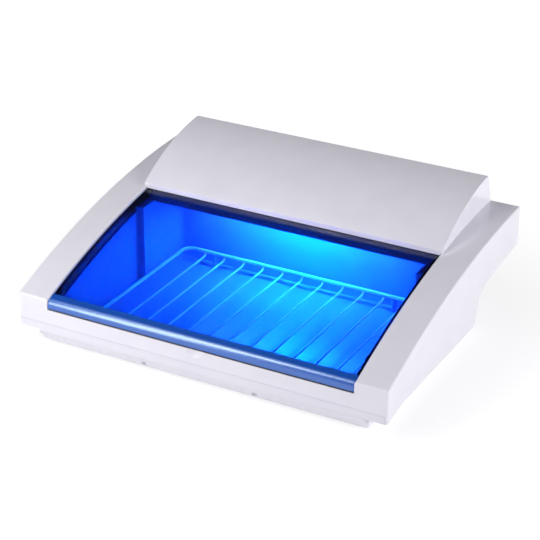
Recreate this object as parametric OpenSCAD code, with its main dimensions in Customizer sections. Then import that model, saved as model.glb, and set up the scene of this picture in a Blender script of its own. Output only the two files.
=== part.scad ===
// Desk-top UV tool steriliser cabinet with a curved door that slides back under a raised hood.
// Millimetres. +Z is up, -Y is the front, and the origin is on the table under the middle.

/* [Case] */
// Overall width of the cabinet
case_w = 430; // [400:1:520]
// Depth from the front face to the rear face
case_d = 331; // [300:1:400]
// Width of the arched top of each side frame
frame_w = 36; // [34:1:44]
// Height of the arch above the table at the front face
arch_front_z = 57.7; // [54:0.1:66]
// Height of the arch above the table at the rear face
arch_rear_z = 120.5; // [116:0.1:130]
// Radius of the arch, seen from the side
arch_r = 920; // [800:10:1200]
// Wall of the white mouldings
wall = 2.5; // [2:0.1:3]
// Small rounding along the arch's outer edges
edge_r = 1.6; // [0.8:0.1:2]
// Rounding of the case's upright corners
corner_r = 3; // [1:0.5:5]
// Height of the side panels' front lower corner above the table
rim_z = 20.6; // [18:0.1:24]
// Height of the seam between the upper shell and the base above that corner
seam_h = 8.5; // [7:0.1:10]
// Height of the upper shell's front lip above the table
lip_z = 45.6; // [44:0.1:48]
// Width of the thumb scoop in the front lip
scoop_w = 22; // [16:1:40]

/* [Base pan] */
// How far the pan's sides lie inside the case's sides
pan_inset = 20; // [19:1:40]
// Height of the rubber feet below the pan
foot_h = 2; // [1:0.1:4]
// Diameter of a rubber foot
foot_d = 14; // [10:1:20]
// How far the pan's front edge lies behind the front face
pan_front = 13; // [8:1:20]
// Length of the rear overhang behind the pan
overhang = 70; // [60:1:80]

/* [Hood] */
// Depth of the hood from its front lip to the rear face
hood_d = 132.5; // [125:0.5:150]
// Height of the hood's top above the table
hood_z = 153.8; // [148:0.1:170]
// Height of the hood's front lip
hood_lip = 5.4; // [4:0.1:8]

/* [Door] */
// How far the door's surface lies below the arch
door_recess = 2.4; // [2:0.1:4]
// Thickness of the door's sheet
door_t = 3; // [2:0.1:4]
// Depth of the flanges at the door's sides
flange_h = 11; // [9:0.1:12]
// Depth of the handle bar from front to back
handle_d = 12; // [9:0.5:16]
// Rounding of the handle bar's front edge
handle_r = 8; // [5:0.5:9]
// Angle that the door turns through about the arch's axis
door_travel = 7.2; // [6:0.1:7.4]
// Diameter of the door's guide studs
stud_d = 5; // [4:0.1:6]
// Clearance round a guide stud in its track
stud_gap = 0.1; // [0.08:0.01:0.3]

/* [Chamber] */
// Gap between the chamber's front part and each side frame
tray_gap = 5; // [4.5:0.5:10]
// Width of the step between the chamber's front part and its rear part
step_w = 9; // [6:0.5:12]
// Depth of the rear part from the step to the back wall
bay_d = 77; // [60:1:90]
// Distance from the chamber's back wall to the rear face
back_gap = 84; // [82:1:96]
// Wall of the chamber liner
liner_t = 2; // [1.5:0.1:2.5]
// Diameter of the lamp's tube
lamp_d = 16; // [15:0.5:26]
// Length of the lamp between its end faces
lamp_l = 288; // [200:1:300]

/* [Rack] */
// Gap between the rack and the sides of the chamber's rear part
rack_gap = 15; // [6:0.5:20]
// Gap between the rack and the chamber's front wall
rack_front_gap = 18; // [6:0.5:24]
// Gap between the rack and the chamber's back wall
rack_rear_gap = 11; // [6:0.5:24]
// Diameter of the rim's wire
rim_wire = 4.4; // [3:0.1:5]
// Diameter of the cross wires
cross_wire = 2.4; // [1.6:0.1:3]
// Spacing of the cross wires
wire_pitch = 25; // [15:1:30]
// Height of the rim's wire above the chamber floor
rack_h = 17.6; // [14:0.1:24]

/* [Hidden] */

white = "#eceaf2";
blue = [0.05, 0.25, 0.85, 0.55];
big = 1000;
eps = 0.01;
seam_gap = 0.3;
fit_gap = 0.3;

// The arch is a circle through its two end heights
chord = [case_d, arch_rear_z - arch_front_z];
chord_l = norm(chord);
arch_drop = sqrt(pow(arch_r, 2) - pow(chord_l / 2, 2));
arch_cy = case_d / 2 + chord.y / chord_l * arch_drop;
arch_cz = (arch_front_z + arch_rear_z) / 2 - chord.x / chord_l * arch_drop;

// Height of the surface that lies a depth below the arch
function arch_z(y, depth = 0) = arch_cz + sqrt(pow(arch_r - depth, 2) - pow(y - arch_cy, 2));

// Angle from the upright to a point of that surface, positive towards the front
function arch_angle(y, depth = 0) = asin((arch_cy - y) / (arch_r - depth));

front_slope = tan(arch_angle(0));
inner_x = case_w / 2 - frame_w;
side_x = case_w / 2;
pan_w = case_w - 2 * pan_inset;
tray_w = 2 * (inner_x - tray_gap);
bay_w = tray_w - 2 * step_w;
rack_w = bay_w - 2 * rack_gap;
cheek_x = inner_x + wall;
cheek_depth = 26;

hood_y = case_d - hood_d;
hood_rear = case_d - 2;
hood_gap = 0.8;

door_x = inner_x - 0.5;
door_front = handle_d;
door_rear = hood_y + 8.5;
flange_depth = door_recess + flange_h;
door_fillet = 0.6;
stud_depth = (door_recess + door_t + door_fillet + flange_depth) / 2;
stud_y = [handle_d + 12, door_rear - 8];
stud_reach = 4.2;
sensor_y = [stud_y[0] + 6, stud_y[0] + 28];
slot_gap = 0.3;

track_t = 5.5;
sensor_depth = stud_depth + 8.5;
ledge_depth = 15;
ledge_t = 2;
back_y = case_d - back_gap;
step_y = back_y - bay_d;
liner_front = 18;
pan_floor = foot_h + wall;
liner_z = pan_floor + 1;
liner_floor = liner_z + liner_t;
bay_z = rim_z + 75.6;
cowl_depth = 8.6;
cowl_t = 1;
cowl_y = [step_y + 25, back_y + 5];
cowl_x = inner_x - 6.6;
lamp_y = (cowl_y[0] + cowl_y[1]) / 2 + 2;
lamp_z = arch_z(lamp_y, cowl_depth + cowl_t) - lamp_d / 2 - 4;
holder_t = 11.5;
lead_x = lamp_l / 2 + holder_t + 5;
lead_z = arch_z(cowl_y[1], ledge_depth) + 1.2;
lead_hole = [6, 4];
grommet_d = 4.4;
sensor_wire_y = cowl_y[1] + 14;
pin_d = 2.4;
pin_l = 7;
pin_pitch = 5;
rotor_d = 10;

pan_rear = case_d - overhang;
rear_y = case_d - 6.5;
rear_t = 2;
tab_x = 102;
tab_screw_z = arch_z(hood_rear) - 13;
rear_floor = rim_z + 46;
rack_front = liner_front + rack_front_gap;
rack_d = back_y - rack_rear_gap - rack_front;
rack_y = [rack_front, rack_front + rack_d];
rack_z = liner_floor + rack_h;
rest_d = 6;

// Rounding and offsetting of outlines

function unit(v) = v / norm(v);

// Arc of radius r that rounds the corner q between p and s
function corner(p, q, s, r, n) =
  let (
    a = unit(p - q),
    b = unit(s - q),
    half = acos(a * b) / 2,
    c = q + unit(a + b) * (r / sin(half)),
    t = q + a * (r / tan(half)) - c,
    u = q + b * (r / tan(half)) - c,
    start = atan2(t.y, t.x),
    sweep = (atan2(u.y, u.x) - start + 540) % 360 - 180
  )
  [for (i = [0:n]) c + r * [cos(start + sweep * i / n), sin(start + sweep * i / n)]];

// Points [x, y, r] as an outline whose corners are rounded by r
function rounded(pts, closed = true, n = 8) =
  let (last = len(pts) - 1)
  [for (i = [0:last])
    let (p = pts[i == 0 ? last : i - 1], q = pts[i], s = pts[i == last ? 0 : i + 1])
    let (plain = q[2] == 0 || (!closed && (i == 0 || i == last)))
    each (plain ? [[q.x, q.y]] : corner([p.x, p.y], [q.x, q.y], [s.x, s.y], q[2], n))];

// Normal to the left of a step
function left_of(p, q) = unit([p.y - q.y, q.x - p.x]);

// Points [x, y, r] moved to their left by d, each corner's radius with them
function shifted(pts, d, closed = true) =
  let (last = len(pts) - 1)
  [for (i = [0:last])
    let (
      q = pts[i],
      before = closed || i > 0 ? left_of(pts[i == 0 ? last : i - 1], q) : left_of(q, pts[1]),
      after = closed || i < last ? left_of(q, pts[i == last ? 0 : i + 1]) : before,
      m = (before + after) / (1 + before * after),
      turn = cross(before, after)
    )
    [q.x + d * m.x, q.y + d * m.y, q[2] == 0 ? 0 : max(0.2, q[2] - d * sign(turn))]];

function reversed(v) = [for (i = [len(v) - 1:-1:0]) v[i]];

// Strip of thickness t to the left of an open path
function strip(pts, t, n = 8) =
  concat(rounded(pts, false, n), reversed(rounded(shifted(pts, t, false), false, n)));

// Placing of drawings

module from_front() { translate([0, -case_d / 2, 0]) children(); }

module mirrored_pair() {
  children();
  mirror([1, 0, 0]) children();
}

// A side view, drawn as [y, z], from x0 to x1
module along_x(x0, x1) {
  translate([x0, 0, 0])
    rotate([90, 0, 90])
      linear_extrude(x1 - x0) children();
}

// A front view, drawn as [x, z], from y0 to y1
module along_y(y0, y1) {
  translate([0, y1, 0])
    rotate([90, 0, 0])
      linear_extrude(y1 - y0) children();
}

// A section, drawn as [depth below the arch, x], swept along the arch between two angles
module arch_turn(a_front, a_rear) {
  translate([0, arch_cy, arch_cz])
    rotate(a = 180, v = [1, 0, 1])
      rotate([0, 0, a_rear])
        rotate_extrude(angle = a_front - a_rear, $fn = 256)
          translate([arch_r, 0])
            mirror([1, 0])
              children();
}

module arch_sweep(y_front, y_rear, depth = 0) {
  arch_turn(arch_angle(y_front, depth), arch_angle(y_rear, depth)) children();
}

// Rectangle of a section between two depths and two distances from the middle
module band(d0, d1, x0, x1) { translate([d0, x0]) square([d1 - d0, x1 - x0]); }

module rounded_rect(w, d, r) {
  polygon(rounded([[-w / 2, 0, r], [w / 2, 0, r], [w / 2, d, r], [-w / 2, d, r]]));
}

module rod(p, q, d) {
  v = q - p;
  translate(p)
    rotate([0, acos(v.z / norm(v)), atan2(v.y, v.x)])
      cylinder(h = norm(v), d = d, $fn = 32);
}

// Case

// Lower edge of the side panels, from the front to the rear
under_path = [
  [0, rim_z, 0],
  [33, rim_z + 7, 60],
  [case_d - 118, rim_z + 7, 3],
  [case_d - 103, rim_z + 45.6, 25],
  [case_d, rim_z + 56, 0]
];

side_points = concat(
  [for (i = [0:3]) under_path[i]],
  [
    [case_d, rim_z + 56, 1.5],
    [case_d, arch_rear_z, 4],
    [(arch_rear_z - arch_front_z) / front_slope, arch_rear_z + eps, 0],
    [0, arch_front_z, 3]
  ]
);

module case_plan(inset) {
  translate([0, inset])
    rounded_rect(case_w - 2 * inset, case_d - 2 * inset, max(corner_r - inset, 0.5));
}

module outer_case() {
  intersection() {
    along_x(-side_x, side_x) polygon(rounded(side_points));
    linear_extrude(big) case_plan(0);
    arch_sweep(-40, case_d + 40)
      polygon(rounded([[0, -side_x, edge_r], [200, -side_x, 0], [200, side_x, 0], [0, side_x, edge_r]]));
  }
}

module inner_case() {
  intersection() {
    linear_extrude(big) case_plan(wall);
    arch_sweep(-40, case_d + 40) band(wall, 200, -side_x + wall, side_x - wall);
  }
}

screw_y = [46, 120, 190, case_d - 26];
screw_x = side_x - 11;
boss_d = 8;
pilot_d = 2.6;
shank_d = 3;
head_d = 5.6;
spot_face = 0.5;
front_screw_x = 65;
front_screw_y = 8.5;

// Height of the base's flange under the side frames
function flange_z(y) =
  y < case_d - 118 ? rim_z + 7 + wall : rim_z + 45.6 + 10.4 / 103 * (y - case_d + 103) + wall;

module shell_bosses() {
  intersection() {
    for (y = screw_y)
      translate([screw_x, y, flange_z(y) - 3])
        cylinder(h = arch_z(y) - flange_z(y) + 2, d = boss_d, $fn = 48);
    along_x(0, side_x)
      polygon(concat(rounded(shifted(under_path, wall + 0.1, false), false), [[case_d, big], [0, big]]));
  }
}

module frame_ribs() {
  for (y = [66, 154, 240])
    arch_sweep(y - 1, y + 1) band(1, cheek_depth, cheek_x + 7.5, side_x - 1);
}

peg_y = [hood_y + 14, case_d - 30];
peg_l = 10;
peg_depth = 4;
peg_x = inner_x + 1.45;

// Section of the opening between the side frames, whose top edges are rounded
module opening_section() {
  top_x = inner_x + edge_r;
  half = concat(
    [[cheek_depth + 1, inner_x]],
    [for (a = [0:15:90]) [edge_r * (1 - sin(a)), inner_x + edge_r * (1 - cos(a))]],
    [[-8, top_x]]
  );
  polygon(concat(half, [for (p = reversed(half)) [p.x, -p.y]]));
}

module upper_shell() {
  color(white) from_front() difference() {
    union() {
      difference() {
        outer_case();
        inner_case();
        // The front wall stops at the seam, and the rear wall leaves room for the rear panel
        translate([-side_x + wall, -1, 0]) cube([case_w - 2 * wall, wall + 2, rim_z + seam_h]);
        translate([-inner_x, case_d - 12, 0]) cube([2 * inner_x, 14, big]);
      }
      intersection() {
        outer_case();
        union() {
          mirrored_pair() {
            arch_sweep(1, case_d - 1) band(0.5, cheek_depth, inner_x - 0.5, cheek_x);
            shell_bosses();
            frame_ribs();
            // Posts that the rear panel is screwed to
            translate([inner_x - 9, rear_y - 12, rear_floor + 14]) cube([10, 12, 17]);
          }
          // Front lip, its thickening behind the scoop and its two screw bosses
          translate([-inner_x - 1, 0.5, lip_z - wall]) cube([2 * inner_x + 2, 15, wall]);
          translate([-scoop_w, 0.5, lip_z - 11.5]) cube([2 * scoop_w, 7, 11]);
          mirrored_pair()
            translate([front_screw_x, front_screw_y, rim_z + 4])
              cylinder(h = lip_z - rim_z - 5, d = boss_d, $fn = 48);
        }
      }
    }
    // Opening for the door and hood, with softened top edges
    intersection() {
      arch_sweep(-40, case_d + 40) opening_section();
      translate([-side_x, -1, lip_z]) cube([case_w, case_d + 2, big]);
    }
    // Slots that the door's studs pass through
    mirrored_pair()
      arch_turn(
        arch_angle(stud_y[0], stud_depth) + asin((stud_d / 2 + slot_gap) / arch_r),
        arch_angle(stud_y[1], stud_depth) - door_travel - asin((stud_d / 2 + slot_gap) / arch_r)
      )
        band(
          stud_depth - stud_d / 2 - slot_gap, stud_depth + stud_d / 2 + slot_gap,
          inner_x - 1, cheek_x + 1
        );
    // Notches for the hood's pegs
    mirrored_pair()
      for (y = peg_y)
        arch_sweep(y - peg_l / 2 - 0.15, y + peg_l / 2 + 0.15)
          band(-1, peg_depth + 0.2, inner_x - 1, peg_x + 0.3);
    // Way through the right cheek for the interlock's wire
    translate([inner_x - 1, sensor_wire_y, arch_z(sensor_wire_y, sensor_depth)])
      rotate([0, 90, 0]) cylinder(h = wall + 2, d = grommet_d + 0.1, $fn = 32);
    // Pilot holes
    mirrored_pair() {
      for (y = screw_y)
        translate([screw_x, y, flange_z(y) - 1]) cylinder(h = 14, d = pilot_d, $fn = 32);
      translate([front_screw_x, front_screw_y, rim_z]) cylinder(h = 16, d = pilot_d, $fn = 32);
      translate([inner_x - 5, rear_y + 1, rear_floor + 18.5])
        rotate([90, 0, 0]) cylinder(h = 11, d = pilot_d, $fn = 32);
    }
    translate([0, -scoop_w * 0.8, lip_z + 2]) sphere(r = scoop_w * 0.94, $fn = 96);
  }
}

// Base pan: the skid under the case, the flange under the side frames and the rear floor

pan_draft = 5;
base_w = case_w - 2 * wall - 0.6;

module under_flange() {
  along_x(-base_w / 2, base_w / 2)
    intersection() {
      polygon(strip(under_path, wall));
      translate([0, 0]) square([case_d - wall - 0.3, big]);
    }
}

// Side view of the pan, moved inwards by d
module pan_side(d, top) {
  points = [
    [0.5, rim_z - 2, 1.5], [pan_front, foot_h, 4], [pan_rear - 6, foot_h, 6], [pan_rear, rim_z + 60, 0]
  ];
  inner = shifted(points, d, false);
  polygon(concat([[inner[0].x, top]], rounded(inner, false), [[inner[3].x, top]]));
}

module pan_block(d, top) {
  half = pan_w / 2 - d;
  intersection() {
    along_x(-half, half) pan_side(d, top);
    along_y(-1, case_d)
      polygon(rounded([
        [-half + pan_draft, foot_h + d, 8 - d], [half - pan_draft, foot_h + d, 8 - d], [half, rim_z, 0],
        [half, big, 0], [-half, big, 0], [-half, rim_z, 0]
      ]));
    translate([0, 0.5 + d])
      linear_extrude(big) rounded_rect(2 * half, pan_rear - d, 8 - d);
  }
}

module under_space() {
  along_x(-side_x, side_x)
    polygon(concat(rounded(shifted(under_path, wall, false), false), [[case_d, -1], [0, -1]]));
}

foot_x = pan_w / 2 - 30;
foot_y = [34, pan_rear - 22];

module at_feet() {
  for (x = [-foot_x, foot_x], y = foot_y) translate([x, y, 0]) children();
}

module base_screw_places() {
  mirrored_pair()
    for (y = screw_y) translate([screw_x, y, flange_z(y) - wall]) children();
}

module base_pan() {
  color("#e2e0ea") from_front() difference() {
    union() {
      difference() {
        union() {
          under_flange();
          // Front strip under the seam, with a tongue behind the upper shell's front wall
          translate([-base_w / 2, 0, rim_z]) cube([base_w, wall, seam_h - seam_gap]);
          translate([-base_w / 2 + 4, wall - 0.5, rim_z]) cube([base_w - 8, 2, seam_h - seam_gap]);
          translate([-base_w / 2 + 4, wall + 0.1, rim_z]) cube([base_w - 8, 1.6, seam_h + 2.5]);
          intersection() {
            pan_block(0, big / 2);
            under_space();
          }
        }
        pan_block(wall, big / 2);
      }
      at_feet()
        translate([0, 0, foot_h + 0.5])
          cylinder(h = liner_z - foot_h - 0.5, d = foot_d + 4, $fn = 48);
      // Front screw bosses, ribs across the floor and the rest of the electrical parts
      mirrored_pair()
        translate([front_screw_x, front_screw_y, rim_z - 9]) cylinder(h = 12.9, d = boss_d, $fn = 48);
      for (y = [80, 130, 180])
        translate([-pan_w / 2 + 12, y - 1, foot_h + 1]) cube([pan_w - 24, 2, liner_z - foot_h - 1]);
      compartment_mounts();
    }
    at_feet() translate([0, 0, -1]) cylinder(h = foot_h + 2, d = foot_d + 0.4, $fn = 48);
    base_screw_places() {
      translate([0, 0, -6]) cylinder(h = 6 + spot_face, d = head_d + 1, $fn = 48);
      translate([0, 0, -1]) cylinder(h = wall + 3, d = shank_d + 0.4, $fn = 32);
    }
    mirrored_pair() {
      translate([front_screw_x, front_screw_y, -1]) cylinder(h = rim_z + 1, d = head_d + 1.6, $fn = 48);
      translate([front_screw_x, front_screw_y, -1]) cylinder(h = rim_z + 8, d = shank_d + 0.4, $fn = 32);
    }
  }
}

module rubber_feet() {
  color("#26262a") from_front() at_feet()
    rotate_extrude($fn = 48)
      polygon([[0, 0], [foot_d / 2 - 1, 0], [foot_d / 2, 1], [foot_d / 2, foot_h + 1], [0, foot_h + 1]]);
}

// A pan-head screw that points up, its head's bearing face at the origin
module screw(l, d = shank_d) {
  rotate_extrude($fn = 32)
    polygon([
      [0, -2], [d * 0.55, -2], [d * 0.9, -1.4], [d * 0.93, 0], [d / 2 - 0.2, 0],
      [d / 2 - 0.2, l - 1.2], [0.3, l], [0, l]
    ]);
}

module base_screws() {
  color("silver") from_front() {
    base_screw_places() translate([0, 0, spot_face]) screw(12, pilot_d + 0.4);
    mirrored_pair() translate([front_screw_x, front_screw_y, rim_z]) screw(14, pilot_d + 0.4);
  }
}

// Hood

hood_seat_x = inner_x + 2;
hood_lip_x = hood_seat_x - wall - 0.1;
hood_top_start = [hood_y, arch_z(hood_y, door_recess - hood_gap) + hood_lip];
hood_corner = [case_d - 15, hood_z];
hood_arc_r = 245;

// Centre of the arc of the hood's top, through its two ends
hood_chord = hood_corner - hood_top_start;
hood_centre = (hood_top_start + hood_corner) / 2
  + [hood_chord.y, -hood_chord.x] / norm(hood_chord)
  * sqrt(pow(hood_arc_r, 2) - pow(norm(hood_chord) / 2, 2));

// Side view of the hood inside its wall of thickness d
module hood_side(d) {
  intersection() {
    translate(hood_centre) circle(r = hood_arc_r - d, $fn = 256);
    polygon(rounded([
      [hood_y + d, 0, 0], [hood_rear + 2.4 - d, 0, 0], [hood_rear - d, arch_z(hood_rear) - 3, 0],
      [hood_corner.x + 1 - d * 0.7, hood_z + 1 - d, 5.5 - d],
      [hood_y + d, hood_z + 1 - d, 0]
    ]));
    polygon(rounded([
      [hood_y + d, 0, 0], [big, 0, 0], [big, big, 0],
      [hood_y + d + 60, hood_top_start.y - d + 60 * 0.66, 0], [hood_y + d, hood_top_start.y - d + 0.6, 2.4]
    ]));
  }
}

module hood_block(d) { along_x(-hood_seat_x + d, hood_seat_x - d) hood_side(d); }

module hood() {
  color(white) from_front() {
    difference() {
      hood_block(0);
      hood_block(wall);
      // The sides stand on the arch, and the front lip hangs between the frames
      arch_sweep(-40, case_d + 60) {
        band(0, 300, hood_lip_x, side_x);
        band(0, 300, -side_x, -hood_lip_x);
        band(door_recess - hood_gap, 300, -side_x, side_x);
      }
    }
    mirrored_pair()
      for (y = peg_y)
        arch_sweep(y - peg_l / 2, y + peg_l / 2) band(-3, peg_depth, inner_x - 0.3, peg_x);
    // Tabs for the two rear screws
    mirrored_pair()
      difference() {
        translate([tab_x - 12, rear_y + rear_t + 0.1, tab_screw_z - 5])
          cube([24, hood_rear - rear_y - rear_t - 0.1, 20]);
        translate([tab_x, case_d, tab_screw_z])
          rotate([90, 0, 0]) cylinder(h = 12, d = shank_d + 0.4, $fn = 32);
      }
  }
}

// Rear compartment

ballast_z = rear_floor + 12.5;
ballast_size = [86, 40, 25];
ballast_at = [-102, case_d - 64, ballast_z];
starter_d = 21.5;
starter_l = 38;
starter_at = [36, case_d - 46, ballast_z + starter_d / 2 + 2];
block_size = [38, 18, 14];
block_at = [104, case_d - 60, ballast_z];

// Pad on the rear floor with its top at ballast_z
module pad(x0, x1, y0, y1) {
  along_x(x0, x1)
    polygon([[y0, flange_z(y0) - 1], [y1, flange_z(y1) - 1], [y1, ballast_z], [y0, ballast_z]]);
}

ballast_ears = [ballast_at.x - 9, ballast_at.x + ballast_size.x + 9];

module compartment_mounts() {
  y = ballast_at.y + ballast_size.y / 2;
  for (x = ballast_ears)
    difference() {
      pad(x - 6, x + 6, y - 6, y + 6);
      translate([x, y, ballast_z - 4.3]) cylinder(h = 5, d = pilot_d, $fn = 32);
    }
  pad(starter_at.x - 12, starter_at.x + 4, starter_at.y - 12, starter_at.y + 12);
  pad(block_at.x - 2, block_at.x + block_size.x + 2, block_at.y, block_at.y + block_size.y);
}

module ballast() {
  color("#8d9096") from_front() {
    translate(ballast_at + [0, 0, 1.5]) {
      difference() {
        translate([4, 0, 0]) cube(ballast_size - [8, 0, 1.5]);
        // Laminated core shows between the folded ends of the steel wrap
        for (z = [4:3:19]) translate([8, -1, z]) cube([ballast_size.x - 16, 1.6, 1.2]);
        for (z = [4:3:19]) translate([8, ballast_size.y - 0.6, z]) cube([ballast_size.x - 16, 1.6, 1.2]);
      }
    }
    difference() {
      translate([ballast_ears[0] - 6, ballast_at.y, ballast_z])
        cube([ballast_ears[1] - ballast_ears[0] + 12, ballast_size.y, 1.5]);
      for (x = ballast_ears)
        translate([x, ballast_at.y + ballast_size.y / 2, ballast_z - 1])
          cylinder(h = 4, d = shank_d + 0.4, $fn = 32);
    }
  }
}

module ballast_screws() {
  color("silver") from_front()
    for (x = ballast_ears)
      translate([x, ballast_at.y + ballast_size.y / 2, ballast_z + 1.5])
        rotate([180, 0, 0]) screw(5.5, pilot_d + 0.4);
}

module starter_socket() {
  color("#f0eee6") from_front()
    translate([starter_at.x - 10, starter_at.y, 0])
      difference() {
        translate([0, -12, ballast_z]) cube([12, 24, starter_d + 4]);
        translate([8, 0, starter_at.z]) rotate([0, 90, 0]) cylinder(h = 5, d = 18, $fn = 48);
      }
}

module starter() {
  color("#f4f4f4") from_front()
    translate([starter_at.x + 2.1, starter_at.y, starter_at.z])
      rotate([0, 90, 0])
        rotate_extrude($fn = 64)
          polygon(rounded([
            [0, -3, 0], [8, -3, 0], [8, 0, 0], [starter_d / 2, 0, 0.6],
            [starter_d / 2, starter_l, 2], [0, starter_l, 0]
          ]));
}

module terminal_block() {
  color("#f5f2e8") from_front()
    translate(block_at)
      difference() {
        union() {
          cube([block_size.x, block_size.y, 5]);
          translate([0, 4, 0]) cube([block_size.x, block_size.y - 8, block_size.z]);
        }
        for (i = [0:3])
          translate([block_size.x * (i + 0.5) / 4, block_size.y / 2, 0]) {
            translate([0, 0, 6]) cylinder(h = 10, d = 4, $fn = 32);
            translate([0, -block_size.y, 9]) rotate([-90, 0, 0]) cylinder(h = 40, d = 3, $fn = 32);
          }
      }
}

// Rear panel with the vents, the mains inlet and the rocker switch

rear_bottom = flange_z(rear_y + rear_t) + 0.2;
rear_top = arch_z(hood_rear) - 3.4;
rear_screw = [inner_x - 4.5, rear_floor + 18.5];
service_z = (rear_bottom + rear_top) / 2;
inlet_x = -135;
rocker_x = 135;
inlet_flange = [31, 17];
inlet_body = [24, 13.4];
bezel_size = [15, 21];
switch_body = [13, 19];
vent_pitch = 9;

module rear_panel() {
  color(white) from_front() {
    difference() {
      union() {
        translate([-inner_x + 0.3, rear_y, rear_bottom])
          cube([2 * inner_x - 0.6, rear_t, rear_top - rear_bottom]);
        mirrored_pair()
          translate([tab_x, rear_y + 0.5, tab_screw_z])
            rotate([90, 0, 0]) cylinder(h = 6.5, d = boss_d, $fn = 48);
      }
      for (i = [-8:8])
        translate([i * vent_pitch - 1.5, rear_y - 1, rear_bottom + 9])
          cube([3, rear_t + 2, rear_top - rear_bottom - 20]);
      translate([inlet_x - inlet_body.x / 2 - 0.2, rear_y - 1, service_z - inlet_body.y / 2 - 0.2])
        cube([inlet_body.x + 0.4, rear_t + 2, inlet_body.y + 0.4]);
      translate([rocker_x - switch_body.x / 2 - 0.2, rear_y - 1, service_z - switch_body.y / 2 - 0.2])
        cube([switch_body.x + 0.4, rear_t + 2, switch_body.y + 0.4]);
      mirrored_pair() {
        translate([tab_x, case_d, tab_screw_z])
          rotate([90, 0, 0]) cylinder(h = 12, d = pilot_d, $fn = 32);
        translate([rear_screw.x - 0.5, case_d, rear_screw.y])
          rotate([90, 0, 0]) cylinder(h = 12, d = shank_d + 0.4, $fn = 32);
      }
    }
  }
}

module rear_panel_screws() {
  color("silver") from_front() mirrored_pair()
    translate([rear_screw.x - 0.5, rear_y + rear_t, rear_screw.y])
      rotate([90, 0, 0]) screw(9.5, pilot_d + 0.4);
}

module hood_screws() {
  color("silver") from_front() mirrored_pair()
    translate([tab_x, hood_rear, tab_screw_z]) rotate([90, 0, 0]) screw(9, pilot_d + 0.4);
}

module power_inlet() {
  color("#1c1c1f") from_front()
    translate([inlet_x, rear_y + rear_t, service_z])
      difference() {
        union() {
          along_y(0, 1.6) polygon(rounded([
            [-inlet_flange.x / 2, -inlet_flange.y / 2, 3], [inlet_flange.x / 2, -inlet_flange.y / 2, 3],
            [inlet_flange.x / 2, inlet_flange.y / 2, 3], [-inlet_flange.x / 2, inlet_flange.y / 2, 3]
          ]));
          along_y(-15, 0.5)
            translate([-inlet_body.x / 2, -inlet_body.y / 2]) square(inlet_body);
        }
        along_y(-11, 3) {
          translate([-4.3, 0]) circle(d = 8, $fn = 48);
          translate([4.3, 0]) circle(d = 8, $fn = 48);
          square([8.6, 6.6], center = true);
        }
        for (x = [-4.3, 4.3])
          translate([x, 0, 0]) rotate([90, 0, 0]) cylinder(h = 20, d = 2.4, $fn = 32);
      }
}

module inlet_pins() {
  color("silver") from_front()
    for (x = [-4.3, 4.3])
      translate([inlet_x + x, rear_y + rear_t - 20, service_z])
        rotate([-90, 0, 0]) cylinder(h = 18.6, d = 2.4, $fn = 32);
}

rocker_half = 7.6;
rocker_w = 10;
rocker_tilt = 8;

module switch_bezel() {
  color("#1c1c1f") from_front()
    translate([rocker_x, rear_y + rear_t, service_z])
      difference() {
        union() {
          along_y(0, 1.8) polygon(rounded([
            [-bezel_size.x / 2, -bezel_size.y / 2, 1.5], [bezel_size.x / 2, -bezel_size.y / 2, 1.5],
            [bezel_size.x / 2, bezel_size.y / 2, 1.5], [-bezel_size.x / 2, bezel_size.y / 2, 1.5]
          ]));
          along_y(-14, 0.5) translate([-switch_body.x / 2, -switch_body.y / 2]) square(switch_body);
          for (z = [-5, 0, 5]) translate([-2.4, -21, z - 0.4]) cube([4.8, 8, 0.8]);
        }
        translate([-rocker_w / 2 - 0.3, -8, -rocker_half - 1.1])
          cube([rocker_w + 0.6, 12, 2 * rocker_half + 2.2]);
        rotate([0, 90, 0]) cylinder(h = switch_body.x - 1, d = 2.1, center = true, $fn = 32);
      }
}

module power_rocker() {
  color("#b3141c") from_front()
    translate([rocker_x, rear_y + rear_t, service_z])
      rotate([rocker_tilt, 0, 0]) {
        along_x(-rocker_w / 2, rocker_w / 2)
          polygon(rounded([
            [3.2, -rocker_half, 0.5], [2.3, 0, 6], [3.2, rocker_half, 0.5], [-1.6, rocker_half - 0.4, 0.5],
            [-4.2, 2.5, 0.5], [-4.2, -2.5, 0.5], [-1.6, -rocker_half + 0.4, 0.5]
          ]));
        rotate([0, 90, 0]) cylinder(h = switch_body.x - 1.4, d = 2, center = true, $fn = 32);
      }
}

// Chamber

module liner_box(half, y0, y1, z0, r) {
  translate([0, y0, z0])
    linear_extrude(big) rounded_rect(2 * half, y1 - y0, r);
}

module under_arch(depth) {
  arch_sweep(-40, case_d + 60) band(depth, 400, -side_x, side_x);
}

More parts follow.
